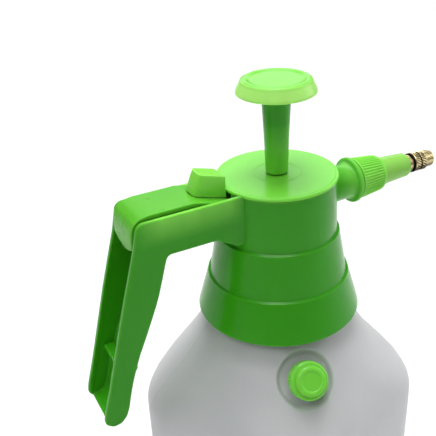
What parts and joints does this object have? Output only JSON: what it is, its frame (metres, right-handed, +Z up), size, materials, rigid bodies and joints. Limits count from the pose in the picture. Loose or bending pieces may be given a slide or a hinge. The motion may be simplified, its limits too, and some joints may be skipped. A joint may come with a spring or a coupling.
{
  "type": "pump sprayer",
  "caption": "Hand-pumped pressure sprayer: milky rounded-square bottle, green screw-on pump head with rear grip, thumb lever and adjustable brass nozzle.",
  "frame": {"origin": "centre of the bottle's flat base, on the pump's axis", "axes": "+Z up along the pump's axis, +X the spraying direction, handle at -X"},
  "size_m": [0.2027, 0.144, 0.3091],
  "materials": {
    "bottle": "milky translucent polyethylene, satin",
    "green_body": "lime green translucent polypropylene, glossy",
    "green_light": "light green polypropylene, glossy",
    "natural_plastic": "natural white polypropylene",
    "hose_plastic": "clear soft polyethylene tube",
    "rubber_black": "matte black nitrile",
    "brass": "turned and knurled brass",
    "steel": "bright stainless steel"
  },
  "bodies": {
    "tank": {"tank_bottle": "bottle", "relief_body": "green_body", "relief_gasket": "rubber_black", "relief_nut": "green_body", "relief_cap": "green_body"},
    "relief": {"relief_knob": "green_light", "relief_disc": "rubber_black", "relief_spring": "steel"},
    "seal_ring": {"neck_gasket": "rubber_black"},
    "head": {"head_housing": "green_body", "handle_grip": "green_body", "top_cap": "green_light", "pump_barrel": "natural_plastic", "barrel_gasket": "rubber_black", "barrel_foot": "natural_plastic", "check_valve_flap": "rubber_black", "rod_guide": "natural_plastic", "valve_body": "natural_plastic", "valve_gland": "natural_plastic", "valve_spring": "steel", "delivery_hose": "hose_plastic", "spout_elbow": "natural_plastic", "dip_tube": "hose_plastic", "dip_filter": "natural_plastic"},
    "pump": {"pump_knob": "green_light", "piston_rod": "steel", "piston": "natural_plastic", "piston_seal": "rubber_black", "piston_nut": "steel"},
    "lever": {"trigger_lever": "green_body"},
    "lock": {"lock_slider": "green_light"},
    "stem": {"valve_stem": "brass", "stem_seal": "rubber_black"},
    "nozzle": {"nozzle_holder": "green_body", "nozzle_gasket": "rubber_black", "nozzle_strainer": "natural_plastic", "nozzle_stem": "brass"},
    "nut": {"coupling_nut": "green_light"},
    "tip_ring": {"nozzle_oring": "rubber_black"},
    "sleeve": {"nozzle_sleeve": "brass"}
  },
  "joints": [
    {"name": "relief_pull", "type": "slide", "parent": "tank", "child": "relief", "axis": [-0.2005, -0.804, 0.5598], "range_m": [0, 0.003], "stiffness_N_per_m": 500, "springref_m": -0.004},
    {"name": "head_lift", "type": "slide", "parent": "tank", "child": "seal_ring", "axis": [0, 0, 1], "range_m": [0, 0.0091]},
    {"name": "head_unscrew", "type": "hinge", "parent": "seal_ring", "child": "head", "pos_m": [0, 0, 0.228], "axis": [0, 0, 1], "range_deg": [0, 540]},
    {"name": "pump_stroke", "type": "slide", "parent": "head", "child": "pump", "axis": [0, 0, 1], "range_m": [0, 0.075]},
    {"name": "valve_lift", "type": "slide", "parent": "head", "child": "stem", "axis": [0, 0, 1], "range_m": [0, 0.0016], "stiffness_N_per_m": 1200, "springref_m": -0.002, "deforming": ["valve_spring"]},
    {"name": "lever_press", "type": "hinge", "parent": "head", "child": "lever", "pos_m": [-0.036, 0, 0.253], "axis": [0, -1, 0], "range_deg": [0, 5.7]},
    {"name": "lock_slide", "type": "slide", "parent": "lever", "child": "lock", "axis": [-0.9652, 0, 0.2613], "range_m": [0, 0.003]},
    {"name": "nozzle_draw", "type": "slide", "parent": "head", "child": "nozzle", "axis": [1, 0, 0], "range_m": [0, 0.004]},
    {"name": "nut_turn", "type": "hinge", "parent": "nozzle", "child": "nut", "pos_m": [0.05, 0, 0.2467], "axis": [1, 0, 0], "range_deg": [0, 722]},
    {"name": "sleeve_advance", "type": "slide", "parent": "nozzle", "child": "tip_ring", "axis": [1, 0, 0], "range_m": [0, 0.002]},
    {"name": "sleeve_turn", "type": "hinge", "parent": "tip_ring", "child": "sleeve", "pos_m": [0.09, 0, 0.2467], "axis": [1, 0, 0], "range_deg": [0, 722]}
  ],
  "couplings": [
    {"joint": "head_lift", "follows": "head_unscrew", "m_per_rad": 0.00095493},
    {"joint": "lever_press", "follows": "valve_lift", "rad_per_m": 61},
    {"joint": "nut_turn", "follows": "nozzle_draw", "rad_per_m": 3141.6},
    {"joint": "sleeve_turn", "follows": "sleeve_advance", "rad_per_m": 6283.2}
  ]
}
